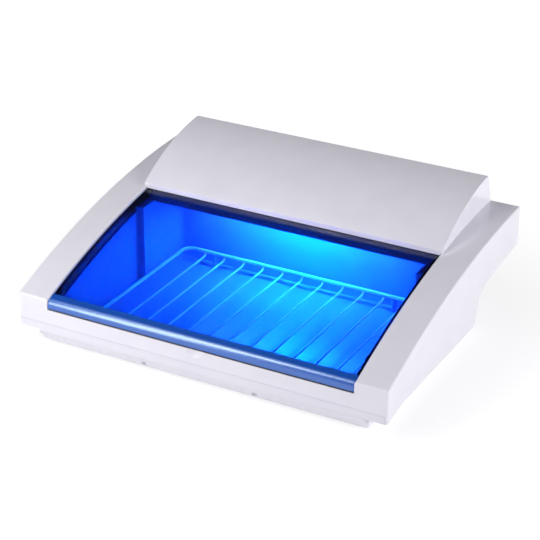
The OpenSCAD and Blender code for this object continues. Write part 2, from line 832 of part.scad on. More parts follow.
module chamber_liner() {
  color("#dfe6ff") from_front() {
    difference() {
      union() {
        intersection() {
          union() {
            liner_box(tray_w / 2 + liner_t, liner_front - liner_t, step_y + liner_t, liner_z, 6);
            liner_box(bay_w / 2 + liner_t, step_y - 20, back_y + liner_t, liner_z, 8);
          }
          union() {
            under_arch(ledge_depth + ledge_t / 2);
            translate([-side_x, step_y - 1, liner_z])
              cube([case_w, cowl_y[0] - 0.3 - step_y + 1, bay_z - liner_z]);
          }
        }
        // Ledge along both sides and behind the back wall
        mirrored_pair() {
          arch_sweep(liner_front + 1, step_y + 1)
            band(ledge_depth, ledge_depth + ledge_t, tray_w / 2 - 1, inner_x - fit_gap);
          arch_sweep(step_y + 0.5, back_y + 12)
            band(ledge_depth, ledge_depth + ledge_t, bay_w / 2 - 1, inner_x - fit_gap);
        }
        arch_sweep(back_y + 0.5, back_y + 12)
          band(ledge_depth, ledge_depth + ledge_t, -bay_w / 2, bay_w / 2);
      }
      liner_box(tray_w / 2, liner_front, step_y, liner_floor, 4);
      liner_box(bay_w / 2, step_y - 20, back_y, liner_floor, 6);
      // Notches for the lamp's wires
      mirrored_pair()
        translate([lead_x - lead_hole.x / 2, cowl_y[1] + 1, lead_z - lead_hole.x])
          cube([lead_hole.x, 10, 2 * lead_hole.x]);
    }
    rack_rests();
  }
}

// Four posts with a saddle each, which the rack's front and rear rails lie in
module rack_rests() {
  saddle = rim_wire / 2 + 0.3;
  rest_x = (wire_count - 0.5) * wire_pitch;
  for (x = [-rest_x, rest_x], y = rack_y)
    difference() {
      translate([x, y, liner_floor - 1]) cylinder(h = rack_z - liner_floor, d = rest_d, $fn = 48);
      translate([x - rest_d, y, rack_z - rim_wire / 2 + saddle])
        rotate([0, 90, 0]) cylinder(h = 2 * rest_d, r = saddle, $fn = 48);
    }
}

module cowl_space(d) {
  intersection() {
    translate([-cowl_x + d, cowl_y[0] + d, 0])
      cube([2 * (cowl_x - d), cowl_y[1] - cowl_y[0] - 2 * d, big]);
    under_arch(cowl_depth + d);
  }
}

module lamp_cowl() {
  color("#dcdfe6") from_front() difference() {
    cowl_space(0);
    cowl_space(cowl_t);
    under_arch(ledge_depth);
    // Notches for the lamp's wires
    mirrored_pair()
      translate([lead_x - lead_hole.x / 2, cowl_y[1] - 2, lead_z - 2])
        cube([lead_hole.x, 4, lead_hole.y]);
  }
}

module reflector() {
  under = cowl_depth + cowl_t;
  t = 0.6;
  color("#cfd4da") from_front()
    along_x(-lamp_l / 2 + 2, lamp_l / 2 - 2)
      polygon(strip([
        [lamp_y - 20, arch_z(lamp_y - 20, under) - 8, 0],
        [lamp_y - 9, arch_z(lamp_y - 9, under) - t - 0.1, 3],
        [lamp_y + 9, arch_z(lamp_y + 9, under) - t - 0.1, 3],
        [lamp_y + 20, arch_z(lamp_y + 20, under) - 8, 0]
      ], t));
}

module lamp_holder() {
  difference() {
    intersection() {
      along_x(lamp_l / 2 + 0.3, lamp_l / 2 + holder_t)
        polygon(rounded([
          [lamp_y - 11, lamp_z - 4, 4], [lamp_y - 7, lamp_z - 10, 4], [lamp_y + 7, lamp_z - 10, 4],
          [lamp_y + 11, lamp_z - 4, 4], [lamp_y + 11, lamp_z + 30, 0], [lamp_y - 11, lamp_z + 30, 0]
        ]));
      under_arch(cowl_depth + cowl_t);
    }
    translate([lamp_l / 2, lamp_y, lamp_z])
      rotate([0, 90, 0]) cylinder(h = pin_l + 1.5, d = rotor_d + 0.1, $fn = 64);
  }
}

module lamp_holder_left() { color("white") from_front() mirror([1, 0, 0]) lamp_holder(); }

module lamp_holder_right() { color("white") from_front() lamp_holder(); }

module uv_lamp() {
  color([0.6, 0.8, 1, 0.6]) from_front()
    translate([-lamp_l / 2 + 1.5, lamp_y, lamp_z])
      rotate([0, 90, 0])
        difference() {
          cylinder(h = lamp_l - 3, d = lamp_d - 0.7, $fn = 64);
          translate([0, 0, -1]) cylinder(h = lamp_l, d = lamp_d - 2.3, $fn = 64);
        }
}

module lamp_caps() {
  color("#c8cace") from_front()
    for (side = [-1, 1])
      translate([side * lamp_l / 2, lamp_y, lamp_z])
        rotate([0, side * 90, 0]) {
          rotate_extrude($fn = 64)
            polygon([
              [0, 0], [lamp_d / 2 - 1, 0], [lamp_d / 2, -1], [lamp_d / 2, -12], [lamp_d / 2 - 0.35, -12],
              [lamp_d / 2 - 0.35, -1.5], [0, -1.5]
            ]);
          for (y = [-1, 1])
            translate([y * pin_pitch / 2, 0, -1]) cylinder(h = pin_l + 1, d = pin_d, $fn = 32);
        }
}

module lamp_rotors() {
  color("#f2f0ea") from_front()
    for (side = [-1, 1])
      translate([side * (lamp_l / 2 + 0.4), lamp_y, lamp_z])
        rotate([0, side * 90, 0])
          difference() {
            cylinder(h = pin_l - 1.2, d = rotor_d, $fn = 64);
            for (y = [-1, 1])
              translate([y * pin_pitch / 2, 0, -1]) cylinder(h = pin_l + 4, d = pin_d + 0.1, $fn = 32);
          }
}

// Wiring

wire_d = 1.7;
wire_r = 3;
wire_gap = 1.15;

function snapped(p) = [for (c = p) round(c * 20) / 20];

// Bend of a wire at q, on its way from p to s
module wire_bend(p, q, s, d, r) {
  a = unit(q - p);
  b = unit(s - q);
  n = cross(a, b);
  u = -cross(n, a);
  upright = abs(u.z) > 0.9;
  translate(q - r * a - r * u)
    rotate(upright ? [0, -90 * u.z, atan2(-a.x, a.y)] : [atan2(a.z, n.z), 0, atan2(u.y, u.x)])
      rotate_extrude(angle = 90, $fn = 48) translate([r, 0]) circle(d = d, $fn = 24);
}

// Wire through points whose runs are square to each other, with round bends
module wire(points, d = wire_d, r = wire_r) {
  pts = [for (p = points) snapped(p)];
  last = len(pts) - 1;
  for (i = [0:last - 1]) {
    dir = unit(pts[i + 1] - pts[i]);
    rod(pts[i] + (i == 0 ? 0 : r) * dir, pts[i + 1] - (i == last - 1 ? 0 : r) * dir, d);
  }
  for (i = [1:last - 1]) wire_bend(pts[i - 1], pts[i], pts[i + 1], d, r);
}

inlet_pin_y = rear_y + rear_t - 20;
tab_y = rear_y + rear_t - 21;
core_x = [ballast_at.x + 4, ballast_at.x + ballast_size.x - 4];
harness_z = ballast_z + ballast_size.z + 2.9;
harness_y = cowl_y[1] + 11;
port_z = ballast_z + 9;
port_y = [block_at.y + 8, block_at.y + block_size.y - 8];
socket_x = starter_at.x - 10;

function port_x(i) = block_at.x + block_size.x * (i + 0.5) / 4;

module mains_wires() {
  high = harness_z + 6;
  low = harness_z + 3;
  color("#7a4a2a") from_front() {
    // Inlet to the switch
    wire([
      [inlet_x - 4.3, inlet_pin_y, service_z], [inlet_x - 4.3, inlet_pin_y - 7.5, service_z],
      [inlet_x - 4.3, inlet_pin_y - 7.5, high], [rocker_x, inlet_pin_y - 7.5, high],
      [rocker_x, inlet_pin_y - 7.5, service_z + 5], [rocker_x, tab_y, service_z + 5]
    ]);
    // Inlet to the terminal block
    wire([
      [inlet_x + 4.3, inlet_pin_y, service_z], [inlet_x + 4.3, inlet_pin_y - 10, service_z],
      [inlet_x + 4.3, inlet_pin_y - 10, low], [port_x(0), inlet_pin_y - 10, low],
      [port_x(0), inlet_pin_y - 10, port_z], [port_x(0), port_y[1], port_z]
    ]);
    // Switch to the ballast
    wire([
      [rocker_x, tab_y, service_z], [rocker_x, tab_y - 12, service_z], [rocker_x, tab_y - 12, harness_z],
      [core_x[1] + 8, tab_y - 12, harness_z], [core_x[1] + 8, tab_y - 12, port_z + 4],
      [core_x[1], tab_y - 12, port_z + 4]
    ]);
  }
}

// Points of a wire from a lamp holder's outer face out through the cowl's rear plate
function lamp_lead(x, holder_y) = [
  [sign(x) * (lamp_l / 2 + holder_t), holder_y, lead_z], [x, holder_y, lead_z], [x, harness_y, lead_z]
];

module lamp_wires() {
  outer = lead_x + wire_gap;
  inner = lead_x - wire_gap;
  starter_y = [starter_at.y - 4, starter_at.y + 4];
  color("#e8e4d8") from_front() {
    // Left holder to the ballast
    wire(concat(lamp_lead(-outer, lamp_y - 3), [
      [-outer, harness_y, port_z + 4], [-outer, ballast_at.y + 14, port_z + 4],
      [core_x[0], ballast_at.y + 14, port_z + 4]
    ]));
    // Left holder to the starter
    wire(concat(lamp_lead(-inner, lamp_y + 3), [
      [socket_x - 11, harness_y, lead_z], [socket_x - 11, starter_y[0], lead_z],
      [socket_x - 11, starter_y[0], starter_at.z], [socket_x, starter_y[0], starter_at.z]
    ]));
    // Right holder to the starter
    wire(concat(lamp_lead(inner, lamp_y + 3), [
      [socket_x - 5, harness_y, lead_z], [socket_x - 5, starter_y[1], lead_z],
      [socket_x - 5, starter_y[1], starter_at.z], [socket_x, starter_y[1], starter_at.z]
    ]));
    // Right holder to the terminal block
    wire(concat(lamp_lead(outer, lamp_y - 3), [
      [outer, harness_y, port_z], [port_x(1), harness_y, port_z], [port_x(1), port_y[0], port_z]
    ]));
  }
}

// Lead of the interlock's sensor: along the arch beside the cheek, in through a grommet, to the terminals
module sensor_wire() {
  d = 2.4;
  y = sensor_wire_y;
  z = arch_z(y, sensor_depth);
  x = inner_x - 12;
  color("#303036") from_front() {
    arch_sweep(sensor_y[1], y) translate([sensor_depth, cheek_x + 2.5]) circle(d = d, $fn = 24);
    along_x(inner_x - 3, cheek_x + 4.5) translate([y, z]) circle(d = grommet_d, $fn = 32);
    wire([
      [inner_x - 2, y, z], [x, y, z], [x, y, port_z], [port_x(2), y, port_z], [port_x(2), port_y[0], port_z]
    ], d = d);
  }
}

// Door

module door_section() {
  polygon(rounded([
    [door_recess, -door_x, 1.5], [flange_depth, -door_x, 0.8], [flange_depth, -door_x + door_t, 0.8],
    [door_recess + door_t, -door_x + door_t, door_fillet],
    [door_recess + door_t, door_x - door_t, door_fillet],
    [flange_depth, door_x - door_t, 0.8], [flange_depth, door_x, 0.8], [door_recess, door_x, 1.5]
  ]));
}

module door_panel() {
  color(blue) from_front()
    difference() {
      arch_sweep(door_front, door_rear, door_recess) door_section();
      for (y = stud_y)
        translate([-side_x, y, arch_z(y, stud_depth)])
          rotate([0, 90, 0]) cylinder(h = case_w, d = stud_d + 0.06, $fn = 48);
    }
}

handle_z = lip_z + 0.8;

module door_handle() {
  // The bar's rear face lies on the sheet's front face, square to the arch
  a = arch_angle(door_front, door_recess);
  top = [door_front, arch_z(door_front, door_recess)];
  rear = top + flange_h * [sin(a), -cos(a)];
  color(blue) from_front()
    along_x(-door_x, door_x)
      polygon(rounded([
        [0.8, handle_z, 1.2], [rear.x - 7, handle_z, 1], [rear.x, rear.y, 0], [top.x, top.y, 0],
        [0.8, top.y - (top.x - 0.8) * tan(a), handle_r]
      ], n = 12));
}

module door_studs() {
  color("#e8e8ea") from_front() mirrored_pair()
    for (y = stud_y)
      translate([door_x - door_t, y, arch_z(y, stud_depth)])
        rotate([0, 90, 0]) {
          cylinder(h = door_t + 0.5 + wall + stud_reach, d = stud_d, $fn = 48);
          translate([0, 0, -1.4]) cylinder(h = 1.4, d = stud_d + 1.4, $fn = 48);
        }
}

module interlock_magnet() {
  y = stud_y[0] + 16;
  color("#9a9a9e") from_front()
    translate([door_x - door_t - 3, y, arch_z(y, stud_depth)])
      rotate([0, 90, 0]) cylinder(h = 3, d = 6, $fn = 48);
}

module interlock_sensor() {
  color("#2b2b30") from_front()
    arch_sweep(sensor_y[0], sensor_y[1])
      band(sensor_depth - 2.5, sensor_depth + 2.5, cheek_x, cheek_x + 5);
}

// Tracks, each a channel behind the slot in a side frame's inner wall

module door_track() {
  end = asin((stud_d / 2 + 0.15) / arch_r);
  plug = asin(3 / arch_r);
  front = arch_angle(stud_y[0], stud_depth) + end;
  rear = arch_angle(stud_y[1], stud_depth) - door_travel - end;
  groove = stud_d / 2 + stud_gap;
  difference() {
    arch_turn(front + plug, rear - plug) band(stud_depth - 5, stud_depth + 5, cheek_x, cheek_x + track_t);
    arch_turn(front, rear)
      band(stud_depth - groove, stud_depth + groove, cheek_x - 1, cheek_x + stud_reach + 0.3);
  }
}

module door_track_left() { color("#f6f6f6") from_front() mirror([1, 0, 0]) door_track(); }

module door_track_right() { color("#f6f6f6") from_front() door_track(); }

module door_bumpers() {
  color("#26262a") from_front() mirrored_pair() {
    translate([120, 6, lip_z]) cylinder(h = 0.7, d = 8, $fn = 32);
    translate([150, rear_y, arch_z(rear_y) - 5.5])
      rotate([90, 0, 0]) cylinder(h = 1.8, d = 7, $fn = 32);
  }
}

// Rack, one welded piece of coated wire

rim_r = 12;
wire_drop = 5.5;
wire_count = floor((rack_w / 2 - rim_r - 4) / wire_pitch);

// Quarter bend of wire in the plane of two directions, from the +X side to the +Y side
module bend(r, d) { rotate_extrude(angle = 90, $fn = 48) translate([r, 0]) circle(d = d, $fn = 24); }

module rack_rim() {
  half = rack_w / 2;
  mirrored_pair() {
    rod([half, rack_y[0] + rim_r, rack_z], [half, rack_y[1] - rim_r, rack_z], rim_wire);
    translate([half - rim_r, rack_y[1] - rim_r, rack_z]) bend(rim_r, rim_wire);
    translate([half - rim_r, rack_y[0] + rim_r, rack_z]) rotate([0, 0, -90]) bend(rim_r, rim_wire);
  }
  for (y = rack_y) rod([-half + rim_r, y, rack_z], [half - rim_r, y, rack_z], rim_wire);
}

// Wire along Y whose ends turn up to the rails
module cross_wire(x) {
  r = wire_drop - 1;
  z = rack_z - wire_drop;
  rod([x, rack_y[0] + r, z], [x, rack_y[1] - r, z], cross_wire);
  translate([x, rack_y[1] - r, z + r]) rotate([90, 0, 90]) rotate([0, 0, -90]) bend(r, cross_wire);
  translate([x, rack_y[0] + r, z + r]) rotate([90, 0, 90]) rotate([0, 0, 180]) bend(r, cross_wire);
}

module wire_rack() {
  color("#eef2ff") from_front() {
    rack_rim();
    for (i = [-wire_count:wire_count]) cross_wire(i * wire_pitch);
  }
}

upper_shell();
base_pan();
hood();
rear_panel();
chamber_liner();
lamp_cowl();
reflector();
lamp_holder_left();
lamp_holder_right();
uv_lamp();
lamp_caps();
lamp_rotors();
ballast();
starter();
starter_socket();
terminal_block();
power_inlet();
inlet_pins();
switch_bezel();
power_rocker();
interlock_sensor();
interlock_magnet();
door_track_left();
door_track_right();
door_panel();
door_handle();
door_studs();
door_bumpers();
wire_rack();
rubber_feet();
mains_wires();
lamp_wires();
sensor_wire();
base_screws();
rear_panel_screws();
hood_screws();
ballast_screws();
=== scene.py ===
# %% [markdown]
# The object is a desk-top cabinet: white mouldings, a see-through blue door on curved tracks, and a lit
# chamber with a wire rack. Its pieces come from the imported model, already in place and in metres, so this
# file gives them their finishes, one black strip of painted shade that the model lacks, the light and the
# camera.

# %% Load the cabinet
from math import cos, log, radians, sin

import bmesh
import bpy
from mathutils import Matrix, Vector


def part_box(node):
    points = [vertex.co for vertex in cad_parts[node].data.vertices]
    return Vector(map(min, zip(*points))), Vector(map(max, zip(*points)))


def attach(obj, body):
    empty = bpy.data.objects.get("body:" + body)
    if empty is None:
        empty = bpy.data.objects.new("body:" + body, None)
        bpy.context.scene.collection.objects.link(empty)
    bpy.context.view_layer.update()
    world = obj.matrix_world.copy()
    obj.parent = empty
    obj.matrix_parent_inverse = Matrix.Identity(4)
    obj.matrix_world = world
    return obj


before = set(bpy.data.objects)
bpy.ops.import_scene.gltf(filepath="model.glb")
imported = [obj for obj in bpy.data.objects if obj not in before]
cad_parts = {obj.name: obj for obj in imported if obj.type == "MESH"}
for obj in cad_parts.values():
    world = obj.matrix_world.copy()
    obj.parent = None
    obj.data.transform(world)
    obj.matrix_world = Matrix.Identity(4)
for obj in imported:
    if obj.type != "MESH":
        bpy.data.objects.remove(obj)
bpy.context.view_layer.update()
MM = 0.001

# %% [markdown]
# The camera stands where the photographer stood: to the right of the middle and a little above, with a long
# lens, so the width and the depth of the cabinet shrink only a little with distance. Azimuth and elevation
# are easier to read than a rotation matrix, so the camera's axes are worked out from them.

# %% Camera
AZIMUTH, ELEVATION, ROLL = radians(28.52), radians(26.62), radians(0.14)
CAMERA_AT = Vector((0.818, -1.5115, 0.9246))

back = Vector((sin(AZIMUTH) * cos(ELEVATION), -cos(AZIMUTH) * cos(ELEVATION), sin(ELEVATION)))
level = Vector((cos(AZIMUTH), sin(AZIMUTH), 0))
upward = back.cross(level)
right = cos(ROLL) * level + sin(ROLL) * upward
upward = back.cross(right)

camera = bpy.data.objects.new("camera", bpy.data.cameras.new("camera"))
bpy.context.scene.collection.objects.link(camera)
camera.data.lens = 119.42
camera.data.sensor_width = 36
camera.matrix_world = Matrix.Translation(CAMERA_AT) @ Matrix((right, upward, back)).transposed().to_4x4()
bpy.context.scene.camera = camera
bpy.context.scene.view_settings.view_transform = "Standard"
print("camera", round((CAMERA_AT - Vector((0, 0, 0.08))).length, 3), "m from the cabinet")

# %% [markdown]
# A material here is a small node tree. One function adds a node, sets its values and makes its links, so
# that each material below reads as a list of what it is made of. Colours are written as the hex values
# that a colour picker shows, and one function turns them to the linear values that the renderer needs.

# %% Small helpers for materials
def linear(hex_colour, alpha=1.0):
    """The linear colour of an sRGB hex value."""
    parts = [int(hex_colour[i:i + 2], 16) / 255 for i in (1, 3, 5)]
    return [c / 12.92 if c <= 0.04045 else ((c + 0.055) / 1.055) ** 2.4 for c in parts] + [alpha]


def add(tree, kind, inputs=None, **settings):
    """A new node; an input takes a value, or the output socket that feeds it."""
    node = tree.nodes.new(kind)
    for name, value in settings.items():
        setattr(node, name, value)
    for name, value in (inputs or {}).items():
        if isinstance(value, bpy.types.NodeSocket):
            tree.links.new(value, node.inputs[name])
        else:
            node.inputs[name].default_value = value
    return node


def new_material(name):
    """An empty material and its tree, with no output yet."""
    material = bpy.data.materials.new(name)
    material.use_nodes = True
    material.node_tree.nodes.clear()
    return material, material.node_tree


print("the grey #808080 is", round(linear("#808080")[0], 3), "in linear light")

# %% [markdown]
# The white mouldings are ABS from polished steel moulds. That gives a hard gloss with a very slight
# waviness, which shows only where a lamp is mirrored, and a white that leans to lilac as the photograph's
# does. The waviness is a few centimetres long and the skin's fine grain is well under a millimetre, so it
# is drawn at about a millimetre to show at all. Noise mostly lies between 0.3 and 0.7, so those two ends
# are stretched to the two colours or to the two roughnesses.

# %% Moulded plastics
NOISE = {"From Min": 0.3, "From Max": 0.7}
WAVE_LENGTH = 30 * MM
WAVE_DEPTH = 4 * MM
SKIN_SPREAD = 0.03


def moulded(name, colour, colour_2, roughness, wave=0.02, grain_mm=1.2, ior=1.53,
            gloss=0.5, gloss_tint="#FFFFFF"):
    """A thermoplastic moulding: plain colour, skin grain in the roughness, long waves in the normal."""
    material, tree = new_material(name)
    place = add(tree, "ShaderNodeTexCoord").outputs["Object"]
    fine = add(tree, "ShaderNodeTexNoise", {"Vector": place, "Scale": 1 / (grain_mm * MM), "Detail": 3})
    waves = add(tree, "ShaderNodeTexNoise", {"Vector": place, "Scale": 1 / WAVE_LENGTH, "Detail": 1})
    shade = add(tree, "ShaderNodeMapRange", {"Value": waves.outputs["Fac"]} | NOISE)
    tint = add(tree, "ShaderNodeMix", {
        "Factor": shade.outputs[0], "A": linear(colour), "B": linear(colour_2)}, data_type="RGBA")
    rough = add(tree, "ShaderNodeMapRange", {
        "Value": fine.outputs["Fac"], "To Min": roughness - SKIN_SPREAD,
        "To Max": roughness + SKIN_SPREAD} | NOISE)
    relief = add(tree, "ShaderNodeBump", {
        "Height": waves.outputs["Fac"], "Strength": wave, "Distance": WAVE_DEPTH})
    surface = add(tree, "ShaderNodeBsdfPrincipled", {
        "Base Color": tint.outputs["Result"], "Roughness": rough.outputs[0], "IOR": ior,
        "Normal": relief.outputs[0], "Specular IOR Level": gloss, "Specular Tint": linear(gloss_tint)})
    add(tree, "ShaderNodeOutputMaterial", {"Surface": surface.outputs[0]})
    return material


glossy_abs = moulded("glossy_white_abs", "#EFEDF6", "#F2F0F8", 0.16)
base_abs = moulded("satin_white_abs", "#ECEAF3", "#EFEDF5", 0.24)
liner_abs = moulded("liner_abs", "#9AA4C8", "#A0AACC", 0.25)
ivory_nylon = moulded("ivory_nylon", "#F0EDE2", "#F4F1E8", 0.35)
white_nylon = moulded("white_nylon", "#EFEFEC", "#F3F3F1", 0.3)
black_nylon = moulded("black_nylon", "#17171A", "#1D1D20", 0.32)
ivory_pvc = moulded("ivory_pvc", "#E6E1D2", "#EAE6DA", 0.4)
brown_pvc = moulded("brown_pvc", "#553823", "#5E4029", 0.4)
red_abs = moulded("glossy_red_abs", "#B01018", "#B8141C", 0.15)
wire_dip = moulded("dipped_wire", "#EDF3FF", "#F4F8FF", 0.22, wave=0.15, grain_mm=2)
print("white ABS:", glossy_abs.name, "and", base_abs.name, "with waves", round(WAVE_LENGTH / MM), "mm long")

# %% [markdown]
# Metals keep the default IOR and get their look from colour, roughness and a pattern in the direction in
# which they were worked: rolled aluminium has fine lines along the sheet and zinc plating is a soft
# blotchy grey. Powder coat is a paint with the skin of an orange, and rubber is dull with a fine grain.

# %% Metals, paint and rubber
METAL_SPREAD = 0.06
MARK_DEPTH = 0.2 * MM


def metal(name, colour, colour_2, roughness, mark_mm, stretch=(1, 1, 1)):
    """Bare or plated metal with marks of about mark_mm, drawn out where stretch is below 1."""
    material, tree = new_material(name)
    place = add(tree, "ShaderNodeTexCoord").outputs["Object"]
    drawn = add(tree, "ShaderNodeMapping", {"Vector": place, "Scale": stretch})
    marks = add(tree, "ShaderNodeTexNoise", {
        "Vector": drawn.outputs[0], "Scale": 1 / (mark_mm * MM), "Detail": 4})
    shade = add(tree, "ShaderNodeMapRange", {"Value": marks.outputs["Fac"]} | NOISE)
    tint = add(tree, "ShaderNodeMix", {
        "Factor": shade.outputs[0], "A": linear(colour), "B": linear(colour_2)}, data_type="RGBA")
    rough = add(tree, "ShaderNodeMapRange", {
        "Value": marks.outputs["Fac"], "To Min": roughness - METAL_SPREAD,
        "To Max": roughness + METAL_SPREAD} | NOISE)
    relief = add(tree, "ShaderNodeBump", {
        "Height": marks.outputs["Fac"], "Strength": 0.05, "Distance": MARK_DEPTH})
    surface = add(tree, "ShaderNodeBsdfPrincipled", {
        "Base Color": tint.outputs["Result"], "Metallic": 1.0, "Roughness": rough.outputs[0],
        "Normal": relief.outputs[0]})
    add(tree, "ShaderNodeOutputMaterial", {"Surface": surface.outputs[0]})
    return material


def painted(name, colour, colour_2, roughness, skin_mm, depth_mm):
    """A coat with a skin of lumps skin_mm across and depth_mm deep."""
    material, tree = new_material(name)
    place = add(tree, "ShaderNodeTexCoord").outputs["Object"]
    skin = add(tree, "ShaderNodeTexNoise", {"Vector": place, "Scale": 1 / (skin_mm * MM), "Detail": 2})
    shade = add(tree, "ShaderNodeMapRange", {"Value": skin.outputs["Fac"]} | NOISE)
    tint = add(tree, "ShaderNodeMix", {
        "Factor": shade.outputs[0], "A": linear(colour), "B": linear(colour_2)}, data_type="RGBA")
    relief = add(tree, "ShaderNodeBump", {
        "Height": skin.outputs["Fac"], "Strength": 0.3, "Distance": depth_mm * MM})
    surface = add(tree, "ShaderNodeBsdfPrincipled", {
        "Base Color": tint.outputs["Result"], "Roughness": roughness, "IOR": 1.5,
        "Normal": relief.outputs[0]})
    add(tree, "ShaderNodeOutputMaterial", {"Surface": surface.outputs[0]})
    return material


rolled_aluminium = metal("rolled_aluminium", "#DDDEE2", "#E8E9EC", 0.18, 0.8, (0.05, 1, 1))
zinc_plate = metal("zinc_plate", "#B9BCC2", "#CDD0D4", 0.3, 1.5)
nickel_plate = metal("nickel_plate", "#C9C6BF", "#D8D5CF", 0.16, 1.5)
core_steel = metal("core_steel", "#7C7F86", "#94979D", 0.42, 1.0, (0.1, 1, 1))
# The cowl's dark grey is painted shade, for its shaded front seen through the door below the hood.
cowl_painted_shade_grey = painted("grey_painted_shade_coat", "#62666F", "#6A6E77", 0.4, 1.2, 0.08)
black_rubber = painted("black_rubber", "#1B1B1D", "#242427", 0.75, 0.9, 0.05)
print("metals:", [m.name for m in (rolled_aluminium, zinc_plate, nickel_plate, core_steel)])

# %% [markdown]
# The door is cast acrylic, dyed blue through its whole thickness. Dye works by distance: three millimetres
# of sheet stay clear, while light that runs along the sheet goes to navy. So the colour is in the volume
# and not on the surface. Over the flange down each side the colour is also darkened to navy, as painted
# shade for the shaded sides of the door. Light from the lamps goes straight through, because a sheet of
# even thickness doesn't bend it, and that keeps the chamber free of noise. Nothing shows through the thick
# bar along the front edge, so it is drawn solid. Its gloss is stronger than acrylic's, to match the
# photograph.

# %% Blue acrylic
SHEET = 3 * MM
SHADE_BLEND = 0.3 * MM
DYE_MARGIN = 1.02
door_edge = max(corner[0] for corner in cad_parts["door_panel"].bound_box)
flange_x = door_edge - SHEET
print("door flanges from", round(flange_x, 4), "m to", round(door_edge, 4), "m off the middle")


def dyed_acrylic_with_painted_shade(name, through, shade_from, painted_shade_colour):
    """Acrylic that lets the colour through after SHEET, and carries painted shade from the given distance
    out to the sides.
    """
    material, tree = new_material(name)
    place = add(tree, "ShaderNodeSeparateXYZ", {0: add(tree, "ShaderNodeTexCoord").outputs["Object"]})
    sideways = add(tree, "ShaderNodeMath", {0: place.outputs["X"]}, operation="ABSOLUTE")
    # Painted shade: from the flange's inner face outwards the colour goes to navy.
    painted_shade_mask = add(tree, "ShaderNodeMapRange", {
        "Value": sideways.outputs[0], "From Min": shade_from - SHADE_BLEND, "From Max": shade_from})
    tint = add(tree, "ShaderNodeMix", {
        "Factor": painted_shade_mask.outputs[0], "A": (1, 1, 1, 1), "B": linear(painted_shade_colour)}, data_type="RGBA")
    glass = add(tree, "ShaderNodeBsdfPrincipled", {
        "Base Color": tint.outputs["Result"], "Roughness": 0.0, "IOR": 1.49, "Transmission Weight": 1.0})
    clear = add(tree, "ShaderNodeBsdfTransparent")
    path = add(tree, "ShaderNodeLightPath")
    surface = add(tree, "ShaderNodeMixShader", {
        0: path.outputs["Is Shadow Ray"], 1: glass.outputs[0], 2: clear.outputs[0]})
    lost = [-log(c) / SHEET for c in through]
    density = max(lost) * DYE_MARGIN
    dye = add(tree, "ShaderNodeVolumeAbsorption", {
        "Color": [1 - k / density for k in lost] + [1], "Density": density})
    add(tree, "ShaderNodeOutputMaterial", {"Surface": surface.outputs[0], "Volume": dye.outputs[0]})
    return material


# The navy #0C0E3C over the side flanges is painted shade for the shaded sides of the door.
blue_acrylic = dyed_acrylic_with_painted_shade("blue_acrylic", (0.07, 0.33, 0.8), flange_x, "#0C0E3C")
bar_acrylic = moulded("blue_acrylic_bar", "#0450B8", "#0654BE", 0.23, wave=0.0, ior=1.8,
                      gloss=1.0, gloss_tint="#D0E8FF")

# %% [markdown]
# The lamp is a quartz tube with mercury vapour. It glows pale blue in the middle, and more violet and
# weaker towards its ends. Everything inside the chamber is lit by this one piece, as in the real cabinet.
# Nearly all its light leaves its underside, which stands for the reflector above it. The renderer clamps
# bright bounced light, and its default flattens the contrast in the chamber, so the clamp is raised.

# %% Lamp glass
LAMP_POWER = 290.0
FADE_TO, END_GLOW = 0.13, 0.22
SIDE, UNDERSIDE, SIDE_GLOW = -0.4, -0.95, 0.02
bpy.context.scene.cycles.sample_clamp_indirect = 60

lamp_glass, tree = new_material("glowing_quartz")
place = add(tree, "ShaderNodeSeparateXYZ", {0: add(tree, "ShaderNodeTexCoord").outputs["Object"]})
from_middle = add(tree, "ShaderNodeMath", {0: place.outputs["X"]}, operation="ABSOLUTE")
fade = add(tree, "ShaderNodeMapRange", {
    "Value": from_middle.outputs[0], "From Min": 0.0, "From Max": FADE_TO,
    "To Min": 1.0, "To Max": END_GLOW})
toward = add(tree, "ShaderNodeSeparateXYZ", {0: add(tree, "ShaderNodeNewGeometry").outputs["Normal"]})
downward = add(tree, "ShaderNodeMapRange", {
    "Value": toward.outputs["Z"], "From Min": SIDE, "From Max": UNDERSIDE,
    "To Min": SIDE_GLOW, "To Max": 1.0})
share = add(tree, "ShaderNodeMath", {0: fade.outputs[0], 1: downward.outputs[0]}, operation="MULTIPLY")
glow = add(tree, "ShaderNodeMix", {
    "Factor": fade.outputs[0], "A": linear("#8064FF"), "B": linear("#1CB4FF")}, data_type="RGBA")
brightness = add(tree, "ShaderNodeMath", {0: share.outputs[0], 1: LAMP_POWER}, operation="MULTIPLY")
surface = add(tree, "ShaderNodeBsdfPrincipled", {
    "Base Color": linear("#CFE4FF"), "Roughness": 0.05, "IOR": 1.46,
    "Emission Color": glow.outputs["Result"], "Emission Strength": brightness.outputs[0]})
add(tree, "ShaderNodeOutputMaterial", {"Surface": surface.outputs[0]})
print("tube glows", LAMP_POWER, "below its middle,", round(LAMP_POWER * END_GLOW, 1), "below its ends")

# %% [markdown]
# One list says which piece has which finish, so that a finish can be changed in one place. The shell, the
# hood and the rear panel share the glossy white, and the base pan is satin, a little duller. The cowl is
# painted dark grey as painted shade: its front lies in shade and shows through the door as a dark band
# below the hood.

